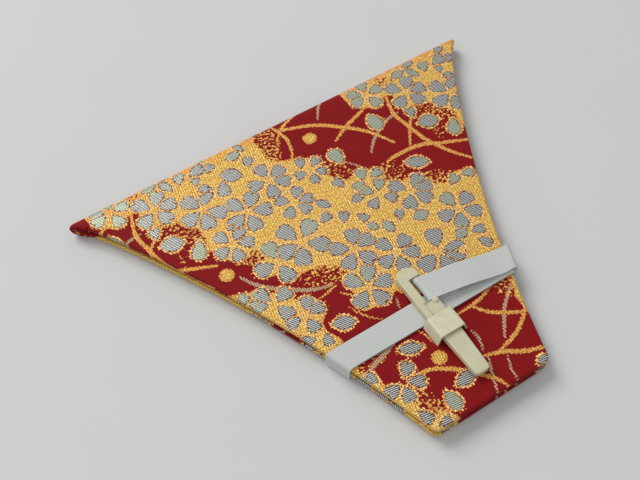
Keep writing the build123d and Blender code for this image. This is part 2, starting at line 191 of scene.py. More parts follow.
# single petals by kind: place, direction of the tip, length, width
PETALS = {
    "leaf": [(-42, 75.2, 165, 6.2, 4.4), (-19, 86, -35, 6.2, 4.4), (-15.5, 91.2, 0, 4.4, 2.8),
        (-12.9, 93.2, 110, 4.6, 1.9), (-35.2, 92.1, 115, 5, 2.4), (-39.1, 93.9, 10, 4.6, 2.6),
        (-34.3, 95.6, 10, 4, 2.4), (-3.8, 65.2, -55, 4.8, 2.4), (6.3, 50.4, 100, 4.4, 2.8),
        (3, 52.6, 130, 3.4, 2.4), (15.2, 48.8, 0, 4.6, 3.4), (24.5, 63.2, -27, 6.6, 3.6),
        (20.4, 38.8, 20, 4.2, 3), (-18.4, 33.7, -20, 5.8, 3.6), (-9.2, 19.7, -22, 6, 3),
        (-3.1, 6.8, 188, 5.8, 3), (14.8, 0.9, 10, 3.6, 2)],
    "drop_down": [(-37.2, 70, 238, 5.8, 4)],
    "petal": [(-22.8, 83.1, 250, 5.2, 3.8), (-27.7, 85.2, 20, 5.2, 3.8), (-13.1, 87.5, 60, 3.8, 3.2),
        (-31.1, 92.4, 70, 4.2, 3.4), (-25.9, 92.2, 15, 5, 4), (-27.8, 89.2, 70, 3, 2.6),
        (-22.8, 91.2, 40, 3.8, 3), (-23.5, 95.6, 30, 3.8, 3), (-27, 71.4, 0, 3, 2.6),
        (-5.6, 61.2, 20, 3.8, 3), (-1.5, 59, 60, 3.8, 3), (-35.4, 51.8, 30, 4, 3),
        (-1.7, 79.6, 70, 3.6, 3), (1.9, 77.9, 30, 3.6, 3), (-3.7, 76.2, 170, 3.6, 3),
        (-1.2, 73.2, 250, 3.8, 3), (1.7, 74.4, 320, 3.4, 2.8), (3.2, 68.6, 110, 4, 3),
        (9.8, 67.8, 70, 4, 3.4), (13.3, 66, 10, 3.8, 3.2), (7.2, 65, 190, 3.8, 3.2),
        (4.4, 61.9, 10, 3.8, 2.8), (2.5, 56.2, -60, 3.6, 2.8), (10.8, 52, 60, 3.6, 2.8),
        (29.2, 53.3, 30, 4, 3), (33.7, 53, -20, 4, 3), (24.8, 37.4, -10, 4, 3), (24, 33.6, -60, 4.2, 3),
        (-28, 34.2, 160, 3.8, 2.8), (-24, 31.9, 250, 3.6, 2.8), (-21.2, 18.4, 120, 3.8, 3),
        (-16.2, 4.2, -70, 4.2, 3), (-13.2, 1, 5, 3.8, 2.2), (-44.2, 80.4, 80, 3.8, 3)],
    "heart": [(7.6, 76.3, 95, 5.4, 4.2)],
    "drop": [(23, 80.7, 90, 5.8, 4.2), (-8.8, 4.2, 95, 5.2, 3.5)],
}

# gold dots: centre and radius
DOTS = [(5, 85.3, 1.9), (-35.1, 60, 1.9), (-5, 14.2, 1.9)]

# places whose petals are woven in a paler silver: centre and radius
PALE_SPOTS = [
    (-51, 92.3, 5.5), (-31, 92, 4), (-15.5, 91.2, 3), (23, 80.7, 3.6), (-37.2, 70, 3.6),
    (7.6, 76.3, 3.2), (10.5, 65.5, 5.4), (-9.8, 61, 2.8), (4, 51.6, 3.6), (15.2, 48.8, 3),
    (31.4, 53.2, 4.4), (20.4, 38.8, 3), (-8.8, 4.2, 3.2), (-22.6, 60.4, 2.6), (-39, 94, 3),
    (-8, 42.4, 2.6), (-37, 50.4, 5.4), (24.5, 49, 2.6),
]

# gold grass blades and branches: half width at the middle, then the points they pass through
GOLD_LINES = [
    (0.62, [(-2, 93.4), (0.1, 91.9), (8.4, 88.6), (15, 83.4), (19.5, 78.8), (23.3, 71.9)]),
    (0.5, [(7.4, 95.8), (0.8, 92.7), (-1.2, 91.2)]),
    (0.5, [(-2, 95.5), (-1, 92), (-0.4, 88.2), (-1.3, 84.4), (-2.4, 82.3)]),
    (0.45, [(-1.2, 91.2), (-3.8, 87.2), (-5.3, 83.7)]),
    (0.5, [(0, 91.9), (-5.1, 93), (-8, 94)]),
    (0.55, [(10.6, 80.9), (15.3, 83.4), (20.2, 85.1), (24.6, 86.6)]),
    (0.62, [(31.3, 87.6), (29.6, 82.7), (29.1, 79.2), (29.9, 74), (30.9, 68.8), (33, 63.6),
            (35.4, 59.4), (37.6, 56.5)]),
    (0.45, [(35.6, 79), (31.3, 75.4), (28.5, 71.9), (26.4, 68.8)]),
    (0.62, [(15, 66.2), (18.8, 67.6), (24.4, 67.8), (29.2, 67.2), (33, 65.3), (36.8, 63.6),
            (41.7, 61.4)]),
    (0.35, [(-20.8, 42.2), (-17.2, 42.6), (-14, 43.6), (-10.8, 45.2)]),
    (0.35, [(-14.4, 40.8), (-12.4, 38.8)]),
    (0.3, [(-15, 36.6), (-14, 34), (-12.4, 31.6), (-10.4, 29.6)]),
    (0.3, [(-4.9, 22.9), (-4.2, 20), (-3.7, 17.8)]),
    (0.6, [(-12.4, 13.7), (-8, 12.7), (-4.4, 10.4), (-2, 8.2), (0.4, 5.6), (2.8, 2.8), (3.8, 0)]),
    (0.6, [(4, 8.9), (8, 7.6), (11.2, 5.6), (14, 4.2), (18, 3)]),
    (0.55, [(7.6, 8), (11.2, 8.8), (14.8, 10), (18, 12), (20.4, 14)]),
    (0.55, [(9.6, 20.8), (11.6, 18), (14, 16), (17.2, 14), (20.2, 12.4)]),
    (0.5, [(5.6, 21), (10, 21), (13.2, 21.6), (17, 22.8)]),
    (0.3, [(-24, 75.5), (-21.5, 79), (-20.4, 82)]),
]

# thinner blades in dull brown thread
BROWN_LINES = [
    (0.5, [(16.2, 72.4), (19.5, 75.7), (23, 77.8), (26.8, 79.5), (30, 79.9)]),
    (0.42, [(10.5, 89.9), (12.9, 93.4), (15.7, 96)]),
    (0.33, [(8.7, 73.3), (11.9, 69.1)]),
    (0.62, [(-32.6, 57.6), (-30.8, 54.2), (-28, 51.2), (-24, 48), (-19.6, 45.2), (-15.2, 43.8)]),
    (0.5, [(11, 10.2), (13.6, 13.6), (16, 16.4), (19.6, 19.2), (22.4, 20.8)]),
    (0.36, [(5.6, 15.8), (5.7, 13.2), (4.6, 10.2)]),
    (0.4, [(4.4, 8), (2.4, 4), (0.8, 0.2)]),
    (0.33, [(8.4, 6), (7, 2.8), (6.6, 0.2)]),
    (0.7, [(-20, 20.4), (-16, 21.6), (-12, 22.9)]),
    (0.33, [(-4.3, 32.4), (-4.9, 30)]),
]

# speckled places, where gold breaks up into spray: centre, half length, half width, turn
SPRAYS = [
    (-38.6, 76.2, 7, 4, -50), (-27, 60.8, 5.5, 3.2, -20), (-15.5, 46.8, 8, 3.8, -12),
    (-5.2, 90, 7.5, 3.6, 75), (5.6, 73, 6, 3.2, -55), (17.6, 64.2, 5.5, 3.6, -25),
    (25.8, 56.6, 6, 3.4, -20), (-44, 94, 4.5, 3, -40), (-17.4, 21.6, 7, 2.6, 12),
    (-13.8, 6.8, 4.6, 3.4, -70), (19.8, 20.8, 4.6, 3, 40), (36.6, 70.4, 6, 2.6, 70),
    (-30.6, 35.4, 4, 2.4, 30),
]


def nearby_copies(x, y, reach, uv):
    """The places of a motif's copies, one woven repeat apart, that lie near the cloth points."""
    low, high = uv.min(0) - reach, uv.max(0) + reach
    for i in range(-4, 5):
        for j in range(-3, 4):
            place = np.array([x, y]) + i * REPEAT_U + j * REPEAT_V
            if np.all(place > low) and np.all(place < high):
                yield place


def smooth_line(points, step=0.5):
    """Points about step apart on a smooth curve through the given points."""
    p = np.array(points, float)
    p = np.vstack([2 * p[0] - p[1], p, 2 * p[-1] - p[-2]])
    out = []
    for a, b, c, d in zip(p[:-3], p[1:-2], p[2:-1], p[3:]):
        n = max(2, int(np.linalg.norm(c - b) / step))
        t = (np.arange(n) / n)[:, None]
        out.append(0.5 * (2 * b + (c - a) * t + (2 * a - 5 * b + 4 * c - d) * t ** 2
                          + (3 * b - a - 3 * c + d) * t ** 3))
    return np.vstack(out + [p[-2][None]])


# how a petal's outline swells from its base and closes at its tip, and its fullness
PETAL_CURVES = {
    "petal": (0.95, 0.5, 0.84), "leaf": (0.95, 0.95, 1.0), "drop": (0.5, 0.8, 0.93),
    "drop_down": (0.9, 0.5, 0.86), "heart": (0.8, 0.5, 0.88),
}


def petal_depth(a, b, length, width, kind):
    """How far a point is inside a petal; a runs from its base to its tip and b across it."""
    la, lb = length / 2, width / 2
    t = np.clip(a / la, -1, 1)
    base, tip, fullness = PETAL_CURVES[kind]
    shape = (1 + t) ** base * (1 - t) ** tip * fullness
    depth = np.minimum((lb * shape - np.abs(b)) * 0.8, la - np.abs(a))
    if kind in ("petal", "heart"):
        notch = a - la + 0.85 - 1.3 * np.abs(b)
        depth = np.minimum(depth, -notch * 0.6)
    return depth


def in_turned_axes(points, angle_deg):
    """Coordinates along and across a direction."""
    c, s = math.cos(math.radians(angle_deg)), math.sin(math.radians(angle_deg))
    return points[:, 0] * c + points[:, 1] * s, points[:, 1] * c - points[:, 0] * s


def all_petals():
    """Every silver petal of one repeat, the blossoms' petals and the single ones."""
    for x, y, reach, angles in BLOSSOMS:
        for angle in angles:
            px = x + reach * math.cos(math.radians(angle))
            py = y + reach * math.sin(math.radians(angle))
            length = min(2 * reach - 2.4, 5.9)
            yield px, py, angle, length, 0.84 * length, "petal"
    for kind, petals in PETALS.items():
        for petal in petals:
            yield *petal, kind


def line_depth(uv, half, points):
    """How far each cloth point is inside a tapered woven line."""
    line = smooth_line(points)
    share = np.linspace(0, 1, len(line))
    widths = half * (0.45 + 0.55 * np.sin(np.pi * np.clip(share, 0.05, 0.95)) ** 0.5)
    depth = np.full(len(uv), -9.0)
    centre = line.mean(0)
    reach = np.abs(line - centre).max(0) + 2
    for place in nearby_copies(centre[0], centre[1], reach, uv):
        near = np.where(np.all(np.abs(uv - place) < reach, axis=1))[0]
        d = np.linalg.norm(uv[near][:, None] - (line + place - centre)[None], axis=2)
        depth[near] = np.maximum(depth[near], (widths[None] - d).max(1))
    return depth


def ground_depth(uv):
    """Distance into the gold cloud from the edge of the red ground, negative on red."""
    poly = np.array(RED_GROUND)
    nxt = np.roll(poly, -1, axis=0)
    best = np.full(len(uv), 9.0)
    inside = np.zeros(len(uv), bool)
    centre = poly.mean(0)
    reach = np.abs(poly - centre).max(0) + 4
    for place in nearby_copies(centre[0], centre[1], reach, uv):
        p = uv - (place - centre)
        crossed = np.zeros(len(uv), bool)
        dist = np.full(len(uv), 9.0)
        for a, b in zip(poly, nxt):
            e = b - a
            t = np.clip(((p - a) @ e) / (e @ e), 0, 1)
            if not (a[1] == b[1] and (a[1] > 96 or a[1] < 0)):
                dist = np.minimum(dist, np.hypot(*(p - a - t[:, None] * e).T))
            if a[1] != b[1]:
                hit = (a[1] > p[:, 1]) != (b[1] > p[:, 1])
                xs = a[0] + (p[:, 1] - a[1]) / (b[1] - a[1]) * e[0]
                crossed ^= hit & (p[:, 0] < xs)
        inside |= crossed
        best = np.minimum(best, dist)
    return np.where(inside, -best, best)


def pattern_fields(uv):
    """Depth into the gold, silver and brown threads at each cloth point, and spray and pale shares."""
    none = np.full(len(uv), -9.0)
    gold = ground_depth(uv)
    for x, y, r in DOTS:
        for place in nearby_copies(x, y, 4, uv):
            gold = np.maximum(gold, r - np.hypot(*(uv - place).T))
    for half, points in GOLD_LINES:
        gold = np.maximum(gold, line_depth(uv, half, points))
    brown = none
    for half, points in BROWN_LINES:
        brown = np.maximum(brown, line_depth(uv, half, points))
    silver, second = none.copy(), none.copy()
    for x, y, angle, length, width, kind in all_petals():
        for place in nearby_copies(x, y, 4, uv):
            near = np.where(np.all(np.abs(uv - place) < 4, axis=1))[0]
            a, b = in_turned_axes(uv[near] - place, angle)
            depth = petal_depth(a, b, length, width, kind)
            second[near] = np.maximum(second[near], np.minimum(silver[near], depth))
            silver[near] = np.maximum(silver[near], depth)
    # a narrow gap is left where two petals meet
    silver = np.minimum(silver, 1.1 * (silver - second) - 0.34)
    spray = np.zeros(len(uv))
    for x, y, long, short, turn in SPRAYS:
        for place in nearby_copies(x, y, 7, uv):
            a, b = in_turned_axes(uv - place, turn)
            spray = np.maximum(spray, np.clip(2.2 * (1 - np.hypot(a / long, b / short)), 0, 1))
    pale = np.zeros(len(uv))
    for x, y, r in PALE_SPOTS:
        for place in nearby_copies(x, y, r + 1, uv):
            pale = np.maximum(pale, np.clip(r + 0.5 - np.hypot(*(uv - place).T), 0, 1))
    return dict(zip(FIELDS, (gold, silver, brown, spray, pale)))


# ================================================================ mesh helpers
def make_object(name, verts_mm, faces, material, smooth=True):
    """A mesh object from points in millimetres."""
    mesh = bpy.data.meshes.new(name)
    mesh.from_pydata((np.asarray(verts_mm) * MM).tolist(), [], [tuple(f) for f in faces])
    mesh.validate()
    if smooth:
        mesh.polygons.foreach_set("use_smooth", [True] * len(mesh.polygons))
        mesh.set_sharp_from_angle(angle=math.radians(50))
    mesh.materials.append(material)
    obj = bpy.data.objects.new(name, mesh)
    bpy.context.scene.collection.objects.link(obj)
    return obj


def grid_faces(rows, cols, start=0, wrap=False):
    """Quads of a rows by cols grid of vertices; wrap joins the last row to the first."""
    r = np.arange(rows if wrap else rows - 1)[:, None]
    c = np.arange(cols - 1)[None]
    nxt = (r + 1) % rows
    quads = np.stack([r * cols + c, r * cols + c + 1, nxt * cols + c + 1, nxt * cols + c], -1)
    return (quads.reshape(-1, 4) + start).tolist()


def end_caps(first, last):
    """Quads that close the two end rings of a flat tube."""
    faces = []
    for ring in (first, last[::-1]):
        for k in range(len(ring) // 2 - 1):
            faces.append((ring[k], ring[k + 1], ring[-2 - k], ring[-1 - k]))
    return faces


def store(obj, name, values):
    """Keep a number or a vector at each point of a mesh, for its material to read."""
    kind, field = ("FLOAT_VECTOR", "vector") if values.ndim == 2 else ("FLOAT", "value")
    attribute = obj.data.attributes.new(name, kind, "POINT")
    attribute.data.foreach_set(field, values.astype(np.float32).ravel())


def move_points(obj, points_mm):
    """Give a mesh's points new places."""
    obj.data.vertices.foreach_set("co", (points_mm * MM).astype(np.float32).ravel())
    obj.data.update()


def add_pattern(obj, uv):
    """Store the cloth's pattern on the mesh, and return the height of its threads in millimetres."""
    fields = pattern_fields(uv)
    for name, values in fields.items():
        store(obj, name, values)
    store(obj, "cloth", np.c_[uv, np.zeros(len(uv))])
    height = 0.035 * np.clip(fields["gold"] / 0.35 + 0.5, 0, 1)
    height = np.maximum(height, 0.03 * np.clip(fields["brown"] / 0.35 + 0.5, 0, 1))
    return np.maximum(height, 0.07 * np.clip(fields["silver"] / 0.4 + 0.7, 0, 1))


# ================================================================ shader helpers
class Value:
    """An output of a material's nodes, with ordinary arithmetic."""

    def __init__(self, paint, socket):
        self.paint = paint
        self.socket = socket

    def __add__(self, other):
        return self.paint.math("ADD", self, other)

    def __sub__(self, other):
        return self.paint.math("SUBTRACT", self, other)

    def __mul__(self, other):
        return self.paint.math("MULTIPLY", self, other)


class Paint:
    """A material in the making, with short ways to write its nodes."""

    def __init__(self, name):
        self.material = bpy.data.materials.new(name)
        self.material.use_nodes = True
        self.tree = self.material.node_tree
        self.shader = self.tree.nodes["Principled BSDF"]

    def put(self, socket, value):
        """Link a value to an input, or set a constant on it."""
        if isinstance(value, Value):
            self.tree.links.new(value.socket, socket)
        elif socket.type == "RGBA":
            socket.default_value = (*value, 1)
        else:
            socket.default_value = value

    def node(self, kind, inputs, output=0, **settings):
        """One output of a new node, given its settings and its inputs by name or number."""
        node = self.tree.nodes.new("ShaderNode" + kind)
        for name, setting in settings.items():
            setattr(node, name, setting)
        for key, value in inputs.items():
            self.put(node.inputs[key], value)
        return Value(self, node.outputs[output])

    def math(self, operation, *values):
        return self.node("Math", dict(enumerate(values)), operation=operation)

    def attribute(self, name, output="Fac"):
        """Numbers or vectors stored on the mesh."""
        return self.node("Attribute", {}, output, attribute_name=name)

    def split(self, vector):
        """The x, y and z of a vector."""
        first = self.node("SeparateXYZ", {0: vector})
        return [Value(self, socket) for socket in first.socket.node.outputs]

    def step(self, value, low, high):
        """Smooth step from 0 at low to 1 at high."""
        return self.node("MapRange", {"Value": value, "From Min": low, "From Max": high}, "Result",
                         interpolation_type="SMOOTHSTEP")

    def wave(self, value, pitch, phase=0.0):
        """A sine from -1 to 1 that repeats every pitch."""
        return self.math("SINE", self.math("MULTIPLY_ADD", value, 2 * math.pi / pitch, phase))

    def thread(self, value, pitch):
        """The same sine, from 0 in the gaps to 1 on the crowns."""
        return self.wave(value, pitch) * 0.5 + 0.5

    def noise(self, vector, scale, detail=2.0, rough=0.5):
        return self.node("TexNoise", {"Vector": vector, "Scale": scale, "Detail": detail, "Roughness": rough})

    def mix(self, factor, a, b):
        """Colour between a and b."""
        return self.node("Mix", {"Factor": factor, 6: a, 7: b}, 2, data_type="RGBA")

    def blend(self, factor, a, b):
        """Number between a and b."""
        return self.node("Mix", {"Factor": factor, 2: a, 3: b}, data_type="FLOAT")

    def position(self):
        """Object coordinates in millimetres."""
        place = self.node("TexCoord", {}, "Object")
        return self.node("VectorMath", {0: place, "Scale": 1 / MM}, operation="SCALE")

    def finish(self, colour, roughness, height=None, depth_mm=0.0, strength=1.0, **others):
        """Set the shader's inputs, with a bump from height, and return the material."""
        inputs = {"Base Color": colour, "Roughness": roughness}
        if height:
            inputs["Normal"] = self.node("Bump", {"Height": height, "Distance": depth_mm * MM,
                                                  "Strength": strength})
        for name, value in others.items():
            inputs[name.replace("_", " ")] = value
        for name, value in inputs.items():
            self.put(self.shader.inputs[name], value)
        return self.material


def srgb(r, g, b):
    """Linear colour from 0 to 255 display values."""
    return tuple(((c / 255 + 0.055) / 1.055) ** 2.4 if c > 10 else c / 255 / 12.92 for c in (r, g, b))


# ================================================================ materials
def brocade_material():
    """Crimson satin with gold, silver and brown figures in metal thread."""
    n = Paint("brocade")
    cloth = n.attribute("cloth", "Vector")
    u, v, _ = n.split(cloth)
    gold, silver, brown, spray, pale = (n.attribute(name) for name in FIELDS)
    fine = n.noise(cloth, 2.2)
    coarse = n.noise(cloth, 0.35, 3.0)

    # figures step from thread to thread, so every edge is toothed
    teeth = (n.wave(v, 0.74) + n.wave(u, 0.86, 0.7)) * 0.09 + (fine * 0.24 - 0.12)
    in_silver = n.step(silver + teeth, 0.05, 0.15)
    in_shadow = n.step(silver + teeth, -0.13, -0.05)
    in_outline = n.step(teeth * 1.7 + silver, -0.56, -0.46)
    in_brown = n.step(brown + teeth, -0.05, 0.07)
    speck = n.noise(cloth, 1.25, 1.5) - 0.52
    edge = speck * spray * 12.0 + gold * (spray * -0.8 + 1.0)
    in_gold = n.step(edge + teeth, -0.06, 0.06)

    # thread patterns, from 0 in the gaps to 1 on the crowns, and glint, painted highlights that fleck the
    # metal thread
    rib = n.thread(v, 0.36)
    twill = n.thread(v * 1.35 + u, 0.66)
    pick = n.thread(v, 0.42)
    tick = n.thread(u, 0.52)
    glint = n.step(n.noise(cloth, 2.1, 1.5, 0.8), 0.42, 0.6)
    drift = n.noise(cloth, 0.16, 1.0) * 1.2 + u
    hatch = n.wave(drift * 0.15 + v, 0.47) + n.wave(u, 0.5) * 0.3
    hatch = n.step(fine * 1.4 + (hatch - 0.75), -0.4, 0.3)

    # colours of the ground and of each thread; gold turns orange in thin lines, and round the spine it is
    # painted orange as glare of grazing light
    red = n.mix(rib * 0.6 + coarse * 0.4, srgb(100, 0, 4), srgb(148, 7, 12))
    gold_weave_and_glint = pick * 0.14 + (twill * 0.4 + glint * 0.6)
    # painted glare: a band where the gold is tinted orange round the fold of the spine
    around = coarse * 9.0 + (v - 4.5)
    painted_spine_glare = n.step(around, 90.0, 97.0) * n.step(around, 103.0, 98.0) * 0.75
    in_thin = n.step(edge, 1.0, 0.4) * 0.5
    gold_colour = n.mix(n.math("MAXIMUM", painted_spine_glare, in_thin),
                        n.mix(gold_weave_and_glint, srgb(196, 92, 8), srgb(255, 233, 122)),
                        n.mix(gold_weave_and_glint, srgb(188, 58, 8), srgb(255, 176, 84)))
    silver_colour = n.mix(pale, n.mix(hatch, srgb(58, 50, 50), srgb(220, 221, 213)),
                          n.mix(hatch, srgb(104, 102, 76), srgb(214, 222, 202)))
    colour = n.mix(in_brown, red, n.mix(tick, srgb(118, 50, 32), srgb(212, 188, 150)))
    colour = n.mix(in_gold, colour, gold_colour)
    # the gold outlines take painted highlights from glint
    colour = n.mix(in_outline, colour, n.mix(glint, srgb(218, 138, 60), srgb(255, 228, 156)))
    colour = n.mix(in_shadow * 0.9, colour, srgb(88, 28, 14))
    colour = n.mix(in_silver, colour, silver_colour)

    figure = n.math("MAXIMUM", in_gold, in_silver)
    height = n.blend(in_gold, rib * 0.45, twill + pick)
    height = n.blend(in_silver, height, hatch + 0.4)
    return n.finish(colour, n.blend(figure, 0.7, 0.4), fine * 0.6 + height, 0.09,
                    Metallic=n.math("MAXIMUM", in_gold, in_outline) * 0.5,
                    Specular_IOR_Level=n.blend(figure, 0.18, 0.5))


def lining_material():
    """Plain-woven lining in dull gold."""
    n = Paint("lining")
    where = n.position()
    x, y, _ = n.split(where)
    weave = n.wave(x, 0.42) * n.wave(y, 0.42)
    tone = weave * 0.2 + n.noise(where, 0.8, 3.0)
    return n.finish(n.mix(tone, srgb(128, 98, 34), srgb(196, 160, 76)), 0.55, weave, 0.04, 0.8,
                    Sheen_Weight=0.25)


def card_material():
    """Grey-brown pressed card with short fibres."""
    n = Paint("card")
    fibre = n.noise(n.position(), 3.0, 5.0, 0.7)
    return n.finish(n.mix(fibre, srgb(120, 108, 88), srgb(186, 172, 146)), 0.92, fibre, 0.06, 0.6)


def elastic_material():
    """White knitted elastic: small stitches along every rib."""
    n = Paint("elastic")
    where = n.attribute("band", "Vector")
    along, across, _ = n.split(where)
    chevron = n.math("ABSOLUTE", n.wave(across, 1.3))
    knit = n.wave(chevron * 0.25 + along, 0.5)
    fluff = n.noise(where, 2.4, 3.0, 0.6)
    colour = n.mix(knit * 0.08 + (fluff * 0.5 + 0.35), srgb(172, 175, 170), srgb(202, 204, 199))
    # painted shade: the grooves between the ribs are darkened
    colour = n.mix(n.attribute("painted_groove_shade") * 0.4, colour, srgb(150, 158, 156))
    return n.finish(colour, 0.85, knit * 0.5 + fluff, 0.06, 0.8, Sheen_Weight=0.15)


def peg_material():
    """Moulded plastic that imitates ivory, with a faint grain and a soft gloss."""
    n = Paint("peg_plastic")
    where = n.position()
    scuff = n.noise(where, 5.0, 3.0)
    colour = n.mix(n.noise(where, 0.25, 3.0), srgb(184, 178, 146), srgb(203, 198, 169))
    return n.finish(colour, scuff * 0.2 + 0.28, scuff, 0.02, 0.4, Subsurface_Weight=0.15,
                    Subsurface_Radius=(0.0012, 0.001, 0.0007))


def strap_material():
    """Smooth cream tape with a very fine cross rib."""
    n = Paint("strap_tape")
    where = n.position()
    cloud = n.noise(where, 0.6, 3.0)
    colour = n.mix(cloud, srgb(190, 184, 154), srgb(212, 207, 180))
    return n.finish(colour, 0.55, cloud * 2.0 + n.wave(n.split(where)[1], 0.22), 0.02, 0.5)


def thread_material():
    """Twisted white sewing thread."""
    n = Paint("thread")
    x, y, _ = n.split(n.position())
    twist = n.wave(x + y, 0.16)
    return n.finish(n.mix(twist * 0.5 + 0.5, srgb(180, 184, 180), srgb(214, 216, 212)), 0.7, twist, 0.03, 0.7)


def floor_material():
    """Plain pale table top."""
    n = Paint("table")
    grain = n.noise(n.position(), 0.05, 4.0)
    return n.finish(n.mix(grain, (0.545, 0.545, 0.535), (0.56, 0.56, 0.55)), 0.75)


BROCADE = brocade_material()
LINING = lining_material()
CARD = card_material()
ELASTIC = elastic_material()
PEG = peg_material()
STRAP = strap_material()
THREAD = thread_material()


# ================================================================ covers
def smooth_bulge(x, y):
    """Slow unevenness of pasted cloth over card, in millimetres."""
    return 0.035 * np.sin(x / 7.3 + 0.4) * np.sin(y / 9.1 + 1.3) + 0.02 * np.sin(x / 3.7 - y / 4.9)


def band_dent(y):
    """How far the tight band presses the cloth in beside its edges."""
    edge = BAND_W / 2 + 1.2
    return -0.10 * ramp(np.abs(y - BAND_Y), edge, 0.75 * edge)


def fold_length():
    """Length of the cloth round the spine, from seam to seam."""
    return travelled(spine_path())[-1]


def cloth_uv(side, x, y):
    """Cloth coordinates of a point on a cover."""
    v = y - NECK_Y
    if side == BACK:
        v = 2 * (SEAM_Y - NECK_Y) + fold_length() - v
    return np.stack([x, v], -1)


def flat_face(y, half, columns):
    """Grid of points over an outline, with its rim's point numbers, places and outward normals."""
    x = half[:, None] * np.linspace(-1, 1, columns)[None]
    face = np.stack([x, np.repeat(y[:, None], columns, axis=1)], -1).reshape(-1, 2)
    index = np.arange(len(face)).reshape(len(y), columns)
    rim = np.concatenate([index[::-1, 0], index[0, 1:-1], index[:, -1]])
    tangent = np.gradient(face[rim], axis=0)
    normal = unit(np.stack([tangent[:, 1], -tangent[:, 0]], -1))
    return face, rim, face[rim], normal


def rim_faces(rim, first, rings):
    """Quads from a face's rim through the rings of points that follow it."""
    faces = []
    for k in range(rings):
        ring = first + k * len(rim) + np.arange(len(rim))
        before = rim if k == 0 else ring - len(rim)
        faces += np.stack([before[:-1], ring[:-1], ring[1:], before[1:]], -1).tolist()
    return faces


def cover_rim():
    """How far out and how far from the middle the cloth runs: rounded rim, wall, turn and hem."""
    turn_r = 0.2
    wall_top, wall_low = D_FACE - EDGE_R, D_HEM + turn_r
    rim = arc((0, wall_top), (EDGE_R, EDGE_R), 90, 0, 7)[1:]
    rim += [(EDGE_R, wall_top + (wall_low - wall_top) * k / 4) for k in range(1, 5)]
    rim += arc((EDGE_R - turn_r, wall_low), (turn_r, turn_r), 0, -90, 4)[1:]
    rim += [(EDGE_R - turn_r - TUCK * k / 3, D_HEM) for k in range(1, 4)]
    return rim


def make_cover_cloth(side):
    """Brocade over one cover: outer face, rounded rim, wall and hem, in one sheet."""
    y = np.linspace(NECK_Y + EDGE_R, SEAM_Y, ROWS)
    face, rim, edge, normal = flat_face(y, inset_half_width(y, EDGE_R), COLUMNS)
    normal[0] = normal[1]
    normal[-1] = normal[-2]
    uv = cloth_uv(side, face[:, 0], face[:, 1])
    edge_uv = uv[rim]
    flip = np.array([1, side])
    points, depths, uvs = [face], [np.full(len(face), D_FACE)], [uv]
    length, before = 0.0, (0.0, D_FACE)
    rings = cover_rim()
    for out, d in rings:
        length += math.hypot(out - before[0], d - before[1])
        before = (out, d)
        points.append(edge + normal * out)
        depths.append(np.full(len(edge), d))
        uvs.append(edge_uv + normal * flip * length)
    xy, d, uv = np.vstack(points), np.concatenate(depths), np.vstack(uvs)
    faces = grid_faces(ROWS, COLUMNS) + rim_faces(rim, len(face), len(rings))
    if side == BACK:
        faces = [f[::-1] for f in faces]
    name = "front_cover_cloth" if side == FRONT else "back_cover_cloth"
    obj = make_object(name, np.c_[xy, MID_Z + side * d], faces, BROCADE)

    lift = add_pattern(obj, uv)
    on_face = ramp(d, D_HEM + 0.3, D_HEM + 0.9)
    off_seam = ramp(xy[:, 1], SEAM_Y, SEAM_Y - 2.5)
    shape = smooth_bulge(xy[:, 0], xy[:, 1]) + band_dent(xy[:, 1])
    grow = (lift - 0.05 + shape * off_seam) * on_face
    move_points(obj, np.c_[xy, MID_Z + side * (d + grow)])
    return obj


def make_lining(side):
    """Lining pasted on the inside of a cover, with a softly turned edge."""
    rows, columns = 90, 81
    y = np.linspace(NECK_Y + LINING_INSET, SEAM_Y, rows)
    face, rim, edge, normal = flat_face(y, inset_half_width(y, LINING_INSET), columns)
    waves = 0.03 * (np.sin(face[:, 0] / 3) * np.sin(face[:, 1] / 4))
    points = [np.c_[face, MID_Z + side * (D_LINING + waves)]]
    turned_edge = [(1.9, D_LINING + 0.02), (1.8, D_LINING + 0.08), (1.8, D_HEM)]
    for inset, d in turned_edge:
        points.append(np.c_[edge + normal * (LINING_INSET - inset), np.full(len(edge), MID_Z + side * d)])
    faces = grid_faces(rows, columns) + rim_faces(rim, len(face), len(turned_edge))
    if side == FRONT:
        faces = [f[::-1] for f in faces]
    name = "front_lining_cloth" if side == FRONT else "back_lining_cloth"
    return make_object(name, np.vstack(points), faces, LINING)


# ================================================================ spine
def bezier(p0, p1, p2, p3, n):
    """n points along a cubic curve, or along each of many curves."""
    p0, p1, p2, p3 = (np.asarray(p, float)[..., None, :] for p in (p0, p1, p2, p3))
    t = np.linspace(0, 1, n)[:, None]
    return (1 - t) ** 3 * p0 + 3 * t * (1 - t) ** 2 * p1 + 3 * t ** 2 * (1 - t) * p2 + t ** 3 * p3


def spine_path():
    """Outer side of the fold as (y, z), from the front seam round to the back seam."""
    apex = HEIGHT / 2
    front = FACE_Z - 0.05
    back = BACK_Z + 0.05
    a = bezier((SEAM_Y, front), (SEAM_Y + 2.2, front), (apex, front - 0.3), (apex, MID_Z - 0.2), 15)
    b = bezier((apex, MID_Z - 0.2), (apex, 0.6), (apex - 0.9, 0.02), (apex - 1.9, 0.02), 12)
    c = bezier((apex - 1.9, 0.02), (apex - 3, 0.02), (SEAM_Y + 0.9, back), (SEAM_Y, back), 9)
    return np.vstack([a, b[1:], c[1:]])


def spine_inner_path(outer):
    """Inner side of the fold, paired point for point with the outer side."""
    angle = math.pi * np.linspace(0, 1, len(outer))
    y = SEAM_Y + 2.4 * np.sin(angle) ** 0.8
    z = MID_Z + (D_HEM - 0.02) * np.cos(angle)
    return np.stack([y, z], -1)


